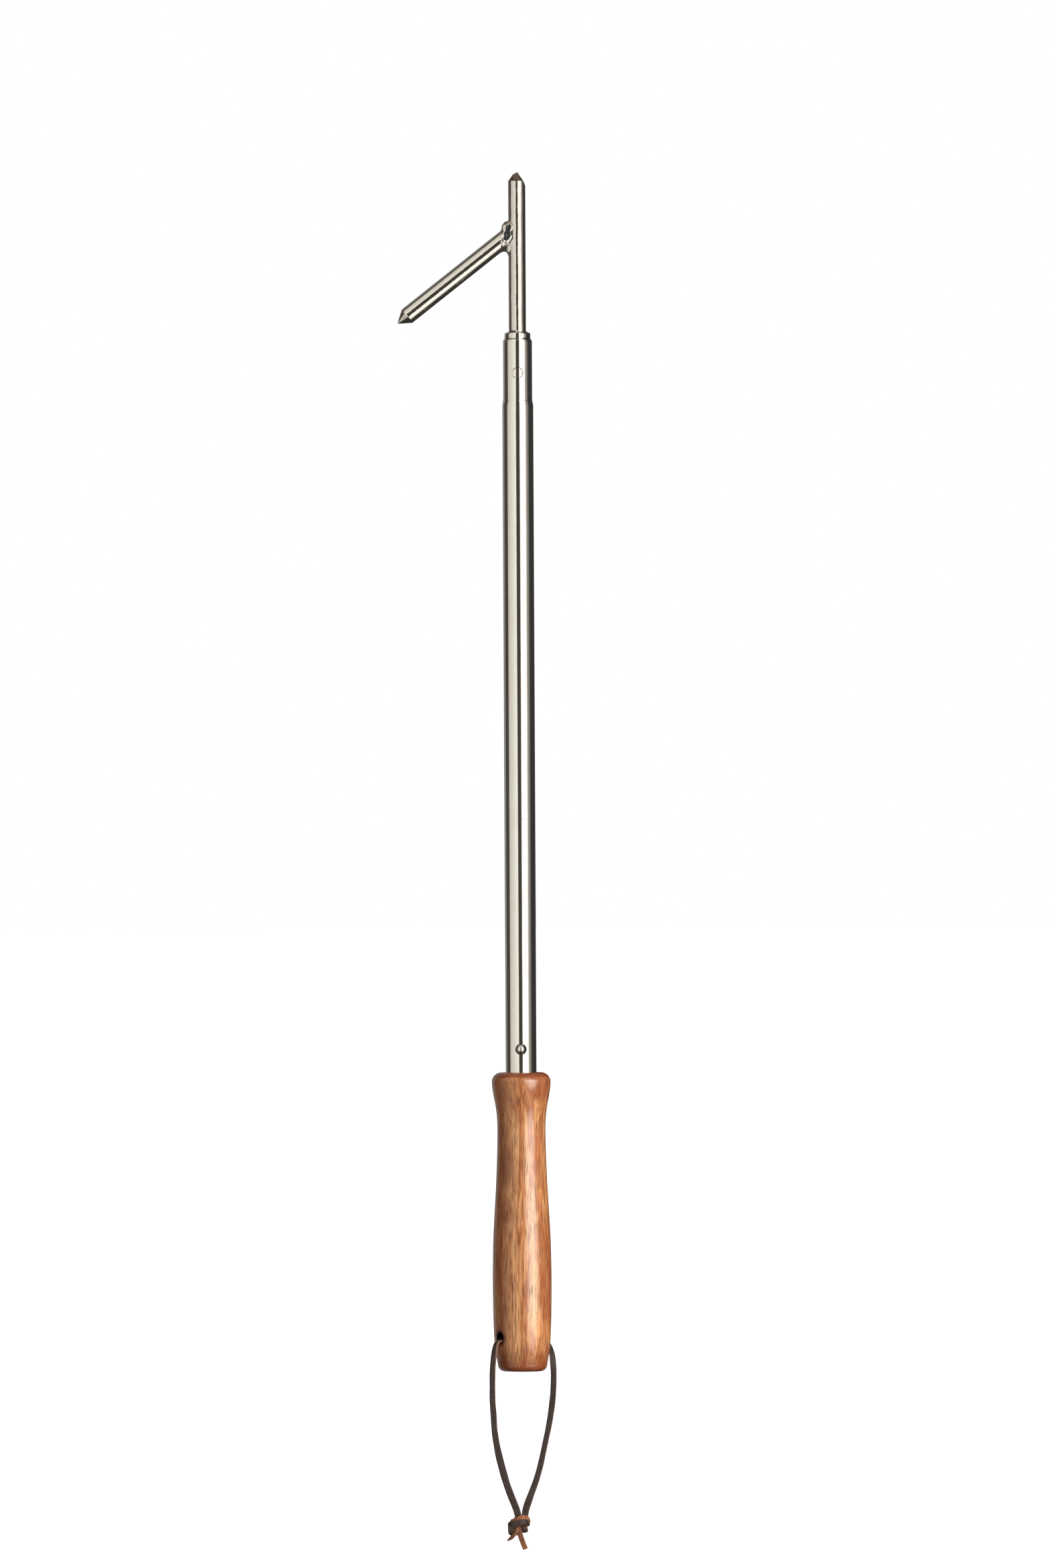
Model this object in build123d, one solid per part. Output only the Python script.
from build123d import *
import math
import os

os.makedirs("parts", exist_ok=True)

# Telescoping boat hook: a turned wooden handle on a plated steel tube, an inner tube that slides out
# of it and carries a pointed rod with a raked side spike, a snap button that locks the slide, and a
# leather thong. Millimetres. Origin: centre of the handle's butt face. +Z runs towards the point.
# The side spike points to -X; the lock holes and the button face the front, -Y.

# ---- driving dimensions ----
# outer tube
TUBE_R = 9.0
TUBE_BORE_R = 8.0
TUBE_BOTTOM = 100.0
NECK_R = 8.42
SHOULDER_LOW = 561.4            # the swage starts here on the outside
SHOULDER_HIGH = 565.4
NECK_TOP = 600.3

# handle
HANDLE_LENGTH = 173.9
BUTT_FLAT_R = 10.4
HANDLE_TOP_R = 12.3
HANDLE_BORE_R = TUBE_R + 0.05   # glue line around the tube
HANDLE_BORE_BOTTOM = TUBE_BOTTOM - 1.0
THONG_HOLE_R = 3.1
THONG_HOLE_Z = 19.9
THONG_DIR = (0.8, 0.6, 0.0)     # along the cross hole, from front left to back right

# inner tube and its fittings
INNER_R = 7.5
INNER_BORE_R = 6.5
INNER_BOTTOM = 162.0
INNER_TOP = 604.1
NECK_BORE_R = INNER_R + 0.05
BUSH_R = TUBE_BORE_R - 0.05
BUSH_LENGTH = 12.0
SPIGOT_R = INNER_BORE_R - 0.05
SPIGOT_LENGTH = 10.0
PLUG_R = INNER_BORE_R - 0.02
PLUG_BOTTOM = 584.0
PLUG_TOP = INNER_TOP - 0.6

# snap lock
LOCK_HOLE_R = 3.15
LOCK_RIM = 0.14                 # broken edge round the lock holes
LOCK_LOW_Z = 187.4
LOCK_HIGH_Z = 580.6
BUTTON_R = 2.85
BUTTON_HOLE_R = BUTTON_R + 0.1
BUTTON_BASE = 5.58              # distances forwards from the tube's axis
BUTTON_SIDE_END = 9.20
BUTTON_DOME_H = 2.25
RIVET_R = 1.2
RIVET_LENGTH = 1.1
SPRING_T = 0.5
SPRING_W = 6.0

# hook head
ROD_R = 5.0
ROD_BOTTOM = 590.5
ROD_TIP_Z = 697.6
PLUG_BORE_R = ROD_R + 0.02
SPIKE_RAKE = 38.2               # degrees below the horizontal
SPIKE_ROOT_Z = 664.6            # the spike's axis meets the rod's axis here
SPIKE_ROOT_X = -8.8             # the spike's inner end is cut parallel to the rod here
SPIKE_TIP = 88.4                # from the rod's axis to the spike's point, along the spike
WELD_GAP = 0.005                # keeps the welds just clear of their neighbours

# leather thong
LACE_R = 1.55
LACE_Z = THONG_HOLE_Z - 1.2     # the lace lies below the hole's axis

FROM_BASE = (Align.CENTER, Align.CENTER, Align.MIN)


# ---- shared helpers ----
def segments(*points):
    """Straight edges from each point to the next."""
    return [Line(start, end) for start, end in zip(points, points[1:])]


def turned(*edges):
    """Revolve a closed outline of (radius, height) edges about Z."""
    return revolve(Plane.XZ * make_face(list(edges)), axis=Axis.Z)


def cylinder_from(bottom, radius, height):
    return Pos(0, 0, bottom) * Cylinder(radius, height, align=FROM_BASE)


def front_drill(radius, start_y, z, length):
    """A drill that runs towards the front from start_y."""
    plane = Plane(origin=(0, start_y, z), z_dir=(0, -1, 0))
    return plane * Cylinder(radius, length, align=FROM_BASE)


# ---- handle ----
# (height, radius): palm swell, waist and flare, between the rounded butt and the rounded top
HANDLE_PROFILE = [
    (4.0, 14.42), (9.4, 15.38), (17.7, 16.35), (25.5, 16.74), (33.3, 16.95), (44.0, 17.12),
    (54.8, 17.16), (64.5, 17.05), (72.3, 16.90), (80.1, 16.62), (87.9, 16.22), (95.7, 15.74),
    (103.5, 15.27), (111.3, 14.86), (119.1, 14.54), (126.9, 14.26), (134.7, 14.08),
    (142.5, 14.06), (148.4, 14.33), (154.2, 15.05), (160.1, 16.15), (164.0, 16.80),
    (167.6, 17.12),
]
BUTT_ROUND_MID = (13.25, 1.18)  # (radius, height) halfway round each rounded end
TOP_ROUND_MID = (15.85, 171.95)
MOUTH_START = 15.6              # the thong hole's countersinks start this far from the axis
MOUTH_DEPTH = 2.4


def make_handle():
    profile = [(radius, z) for z, radius in HANDLE_PROFILE]
    butt_edge = (BUTT_FLAT_R, 0)
    top_edge = (HANDLE_TOP_R, HANDLE_LENGTH)
    handle = turned(
        Line((0, 0), butt_edge),
        ThreePointArc(butt_edge, BUTT_ROUND_MID, profile[0]),
        Spline(*profile),
        ThreePointArc(profile[-1], TOP_ROUND_MID, top_edge),
        *segments(top_edge, (0, HANDLE_LENGTH), (0, 0)),
    )
    bore = cylinder_from(HANDLE_BORE_BOTTOM, HANDLE_BORE_R,
                         HANDLE_LENGTH - HANDLE_BORE_BOTTOM + 5)
    hole_centre = (0, 0, THONG_HOLE_Z)
    cross_hole = Plane(origin=hole_centre, z_dir=THONG_DIR) * Cylinder(THONG_HOLE_R, 60)
    handle = handle - bore - cross_hole
    for side in (1, -1):
        mouth = Plane(origin=hole_centre, z_dir=tuple(side * c for c in THONG_DIR))
        handle = handle - mouth * Pos(0, 0, MOUTH_START) * Cone(
            THONG_HOLE_R - 0.3, THONG_HOLE_R + 1.5, MOUTH_DEPTH, align=FROM_BASE)
    return handle


# ---- outer tube ----
def make_outer_tube():
    bevel = 0.3
    lip_height = 1.7
    lip_bevel = 0.12
    bore_shoulder_low = SHOULDER_LOW - 1.0
    shoulder_mid = (SHOULDER_LOW + SHOULDER_HIGH) / 2
    lip_start = (NECK_R, NECK_TOP - lip_height)
    lip_end = (NECK_BORE_R + lip_bevel, NECK_TOP)
    tube = turned(
        *segments((TUBE_BORE_R + bevel, TUBE_BOTTOM), (TUBE_R - bevel, TUBE_BOTTOM),
                  (TUBE_R, TUBE_BOTTOM + bevel), (TUBE_R, SHOULDER_LOW)),
        Spline((TUBE_R, SHOULDER_LOW), ((TUBE_R + NECK_R) / 2, shoulder_mid),
               (NECK_R, SHOULDER_HIGH), tangents=[(0, 1), (0, 1)]),
        Line((NECK_R, SHOULDER_HIGH), lip_start),
        Spline(lip_start, (NECK_R - 0.22, NECK_TOP - 0.65), lip_end,
               tangents=[(0, 1), (-1, 0)]),
        *segments(lip_end, (NECK_BORE_R, NECK_TOP - lip_bevel), (NECK_BORE_R, SHOULDER_HIGH)),
        Spline((NECK_BORE_R, SHOULDER_HIGH),
               ((TUBE_BORE_R + NECK_BORE_R) / 2, shoulder_mid - 0.5),
               (TUBE_BORE_R, bore_shoulder_low), tangents=[(0, -1), (0, -1)]),
        *segments((TUBE_BORE_R, bore_shoulder_low), (TUBE_BORE_R, TUBE_BOTTOM + bevel),
                  (TUBE_BORE_R + bevel, TUBE_BOTTOM)),
    )
    for hole_z in (LOCK_LOW_Z, LOCK_HIGH_Z):
        tube = tube - front_drill(LOCK_HOLE_R, -5.0, hole_z, 8)
        # the hole's edge on the outside of the tube
        rim = []
        for edge in tube.edges():
            box = edge.bounding_box()
            if abs(box.center().Z - hole_z) < 3.3 and box.min.Y < -8.3 and box.max.Y < -7.5:
                rim.append(edge)
        tube = chamfer(rim, LOCK_RIM)
    return tube


# ---- inner tube ----
def make_inner_tube():
    bevel = 0.3
    bore_bevel = 0.2
    round_start = (INNER_R, INNER_TOP - 0.9)
    round_end = (INNER_R - 0.7, INNER_TOP)
    tube = turned(
        *segments((INNER_BORE_R + bore_bevel, INNER_BOTTOM), (INNER_R - bevel, INNER_BOTTOM),
                  (INNER_R, INNER_BOTTOM + bevel), round_start),
        Spline(round_start, (INNER_R - 0.2, INNER_TOP - 0.28), round_end,
               tangents=[(0, 1), (-1, 0)]),
        *segments(round_end, (INNER_BORE_R, INNER_TOP),
                  (INNER_BORE_R, INNER_BOTTOM + bore_bevel),
                  (INNER_BORE_R + bore_bevel, INNER_BOTTOM)),
    )
    return tube - front_drill(BUTTON_HOLE_R, -3.0, LOCK_LOW_Z, 8)


# ---- guide bush: spigot pressed in the inner tube's lower end, head running in the outer tube ----
def make_guide_bush():
    bevel = 0.8
    head_bevel = 0.4
    head_top = INNER_BOTTOM - 0.02
    bottom = head_top - BUSH_LENGTH
    spigot_top = INNER_BOTTOM + SPIGOT_LENGTH
    return turned(*segments(
        (0, bottom), (BUSH_R - bevel, bottom), (BUSH_R, bottom + bevel),
        (BUSH_R, head_top - head_bevel), (BUSH_R - head_bevel, head_top), (SPIGOT_R, head_top),
        (SPIGOT_R, spigot_top - bevel), (SPIGOT_R - bevel, spigot_top), (0, spigot_top),
        (0, bottom)))


# ---- end plug: steel, closes the inner tube's top and holds the rod ----
def make_end_plug():
    plug = cylinder_from(PLUG_BOTTOM, PLUG_R, PLUG_TOP - PLUG_BOTTOM)
    plug = plug - cylinder_from(ROD_BOTTOM - 0.5, PLUG_BORE_R, 30)
    return chamfer(plug.edges().group_by(Axis.Z)[0], 0.6)


# ---- hook rod: straight, with a hand-ground point ----
# flats ground on the cone: a point on each, relative to the tip, and its outward normal
TIP_FLATS = [
    ((0.5, 0.0, 0.0), (-0.454, 0.02, 0.891)),
    ((0.5, 0.0, 0.0), (0.844, -0.03, 0.536)),
    ((4.85, 0.0, -7.9), (0.925, -0.10, 0.380)),
    ((0.4, -0.1, 0.0), (-0.06, -0.74, 0.67)),
    ((0.4, 0.2, 0.0), (0.05, 0.76, 0.65)),
    ((-2.2, -2.2, -1.9), (-0.58, -0.52, 0.63)),
]


def make_hook_rod():
    bevel = 0.5
    stub_r = 1.4
    stub_top = ROD_TIP_Z + 1.0
    rod = turned(*segments(
        (0, ROD_BOTTOM), (ROD_R - bevel, ROD_BOTTOM), (ROD_R, ROD_BOTTOM + bevel),
        (ROD_R, ROD_TIP_Z - 5.3), (stub_r, ROD_TIP_Z - 0.1), (stub_r, stub_top), (0, stub_top),
        (0, ROD_BOTTOM)))
    for (x, y, z), normal in TIP_FLATS:
        flat = Plane(origin=(x, y, ROD_TIP_Z + z), z_dir=normal)
        rod = rod - flat * Box(40, 40, 20, align=FROM_BASE)
    return rod


# ---- side spike: pointed bar of the rod's radius, raked back towards the handle ----
def make_side_spike():
    rake = math.radians(SPIKE_RAKE)
    plane = Plane(origin=(0, 0, SPIKE_ROOT_Z), x_dir=(0, 1, 0),
                  z_dir=(-math.cos(rake), 0, -math.sin(rake)))
    start = -5                  # past the rod's axis, trimmed off below
    spike = plane * turned(*segments(
        (0, start), (ROD_R, start), (ROD_R, SPIKE_TIP - 7.1), (ROD_R - 0.15, SPIKE_TIP - 6.5),
        (0.55, SPIKE_TIP - 0.3), (0, SPIKE_TIP), (0, start)))
    trim = Pos(SPIKE_ROOT_X, 0, SPIKE_ROOT_Z) * Box(
        60, 60, 60, align=(Align.MIN, Align.CENTER, Align.CENTER))
    return spike - trim


# ---- spike weld: bead between the spike's cut end and the rod ----
# (x, z) side outline: heaped top edge, outwards in, and filleted lower edge, inwards out
WELD_OUTER_X = SPIKE_ROOT_X - 0.02
WELD_TOP = [(WELD_OUTER_X, 664.6), (-7.9, 667.8), (-6.3, 669.6), (-4.4, 670.4)]
WELD_BELOW = [(-4.4, 647.8), (-5.6, 648.7), (-6.9, 650.2), (WELD_OUTER_X, 651.6)]
WELD_HALF_WIDTH = 4.4
WELD_ROUND_R = 4.6              # upright cylinder that rounds the bead in plan
WELD_ROUND_X = -5.6
WELD_MID_Z = 659.0


def make_spike_weld():
    outline = Plane.XZ * make_face([
        Line(WELD_BELOW[-1], WELD_TOP[0]), Spline(*WELD_TOP),
        Line(WELD_TOP[-1], WELD_BELOW[0]), Spline(*WELD_BELOW),
    ])
    weld = extrude(outline, amount=WELD_HALF_WIDTH, both=True)
    weld = weld & (Pos(WELD_ROUND_X, 0, WELD_MID_Z) * Cylinder(WELD_ROUND_R, 40))
    weld = weld - cylinder_from(600, ROD_R + WELD_GAP, 120)
    spike_side = Pos(SPIKE_ROOT_X + WELD_GAP, 0, WELD_MID_Z) * Box(
        20, 20, 40, align=(Align.MAX, Align.CENTER, Align.CENTER))
    return weld - spike_side


# ---- rod weld: low fillet ring where the rod enters the end plug ----
def make_rod_weld():
    base_z = PLUG_TOP + WELD_GAP
    inner_corner = (ROD_R + WELD_GAP, base_z)
    outer_corner = (INNER_BORE_R - 0.1, base_z)
    crest = (ROD_R + WELD_GAP, PLUG_TOP + 1.7)
    return turned(
        Line(inner_corner, outer_corner),
        Spline(outer_corner, (ROD_R + 0.62, PLUG_TOP + 0.62), crest,
               tangents=[(-0.6, 0.5), (-0.2, 1)]),
        Line(crest, inner_corner),
    )


# ---- snap button: domed pin riveted to the spring's front leaf ----
def make_snap_button():
    dome_r = (BUTTON_R ** 2 + BUTTON_DOME_H ** 2) / (2 * BUTTON_DOME_H)
    top = BUTTON_SIDE_END + BUTTON_DOME_H
    rivet_end = BUTTON_BASE - RIVET_LENGTH
    half_angle = 0.5 * math.asin(BUTTON_R / dome_r)
    dome_mid = (dome_r * math.sin(half_angle), top - dome_r + dome_r * math.cos(half_angle))
    button = turned(
        *segments((0, rivet_end), (RIVET_R, rivet_end), (RIVET_R, BUTTON_BASE),
                  (BUTTON_R, BUTTON_BASE), (BUTTON_R, BUTTON_SIDE_END)),
        ThreePointArc((BUTTON_R, BUTTON_SIDE_END), dome_mid, (0, top)),
        Line((0, top), (0, rivet_end)),
    )
    return Plane(origin=(0, 0, LOCK_LOW_Z), x_dir=(1, 0, 0), z_dir=(0, -1, 0)) * button


# ---- snap spring: V of flat spring steel inside the inner tube ----
LEAF_Y = BUTTON_BASE - 0.02 - SPRING_T / 2
BEND_R = 1.9
BEND_Z = 229.2
# (y, z) centre line of the front leaf, upwards, and the back leaf, downwards
FRONT_LEAF = [(-LEAF_Y, 177.5), (-LEAF_Y, 196.0), (-4.9, 200.5), (-BEND_R, 228.0)]
BACK_LEAF = [(BEND_R, 228.0), (4.9, 200.5), (LEAF_Y, 196.0), (LEAF_Y, 179.0)]


def strip_outline(points, thickness):
    """The closed outline of a strip that follows a polyline, as (y, z) points."""
    left, right = [], []
    for i, (y, z) in enumerate(points):
        before = points[max(i - 1, 0)]
        after = points[min(i + 1, len(points) - 1)]
        run_y, run_z = after[0] - before[0], after[1] - before[1]
        half = thickness / 2 / math.hypot(run_y, run_z)
        left.append((y - run_z * half, z + run_y * half))
        right.append((y + run_z * half, z - run_y * half))
    return left + right[::-1]


def make_snap_spring():
    bend = []
    for degrees in range(15, 180, 15):
        angle = math.radians(degrees)
        bend.append((-BEND_R * math.cos(angle), BEND_Z + BEND_R * math.sin(angle)))
    outline = strip_outline(FRONT_LEAF + bend + BACK_LEAF, SPRING_T)
    face = Plane.YZ * make_face(Polyline(*outline, close=True))
    spring = extrude(face, amount=SPRING_W / 2, both=True)
    return spring - front_drill(RIVET_R + 0.05, 0, LOCK_LOW_Z, 10)


# ---- thong lace: open loop in the upright plane of the cross hole ----
# (distance along the hole, height) of each leg, from the hole down to the knot
LEFT_LEG = [
    (-17.0, LACE_Z), (-19.1, 17.3), (-20.2, 14.2), (-21.2, 8.5), (-21.9, -1.8), (-22.0, -9.6),
    (-21.9, -17.4), (-21.2, -25.2), (-20.7, -33.0), (-19.4, -40.8), (-17.5, -48.6),
    (-15.1, -56.4), (-12.4, -64.2), (-9.0, -72.0), (-4.7, -81.2),
]
RIGHT_LEG = [
    (17.0, LACE_Z), (19.3, 17.0), (20.7, 13.6), (21.9, 8.5), (22.6, -1.8), (22.4, -9.6),
    (21.7, -17.4), (20.4, -25.2), (18.7, -33.0), (16.6, -40.8), (14.5, -48.6),
    (12.2, -56.4), (9.3, -64.2), (5.6, -72.0), (1.7, -81.2),
]


def make_thong_lace():
    along_x, along_y, _ = THONG_DIR
    plane = Plane(origin=(0, 0, 0), x_dir=THONG_DIR, z_dir=(along_y, -along_x, 0))
    cross_run = [(x, LACE_Z) for x in (-12.0, -6.0, 0.0, 6.0, 12.0)]
    path = plane * Spline(*(LEFT_LEG[::-1] + cross_run + RIGHT_LEG))
    section = Plane(origin=path @ 0, z_dir=path % 0) * Circle(LACE_R)
    return sweep(section, path=path)


# ---- thong knot, with two tails ----
KNOT_CENTRE = (-2.3, -0.6, -89.4)
KNOT_HALF_SIZES = (6.4, 5.0, 5.3)
# start, end, radius at the start, radius at the end
TAILS = [
    ((-3.6, -1.6, -92.0), (-8.8, -2.6, -98.6), 1.7, 0.7),
    ((-2.6, -1.0, -92.5), (1.5, -1.6, -103.7), 1.7, 1.4),
]


def make_thong_knot():
    knot = Pos(*KNOT_CENTRE) * scale(Sphere(1.0), by=KNOT_HALF_SIZES)
    for start, end, start_r, end_r in TAILS:
        run = Vector(*end) - Vector(*start)
        knot = knot + Plane(origin=start, z_dir=run) * Cone(
            start_r, end_r, run.length, align=FROM_BASE)
    return knot


# ---- one file per piece ----
PIECES = {
    "handle": make_handle,
    "outer_tube": make_outer_tube,
    "inner_tube": make_inner_tube,
    "guide_bush": make_guide_bush,
    "end_plug": make_end_plug,
    "hook_rod": make_hook_rod,
    "side_spike": make_side_spike,
    "spike_weld": make_spike_weld,
    "rod_weld": make_rod_weld,
    "snap_button": make_snap_button,
    "snap_spring": make_snap_spring,
    "thong_lace": make_thong_lace,
    "thong_knot": make_thong_knot,
}
for name, make_piece in PIECES.items():
    export_step(make_piece(), f"parts/{name}.step")
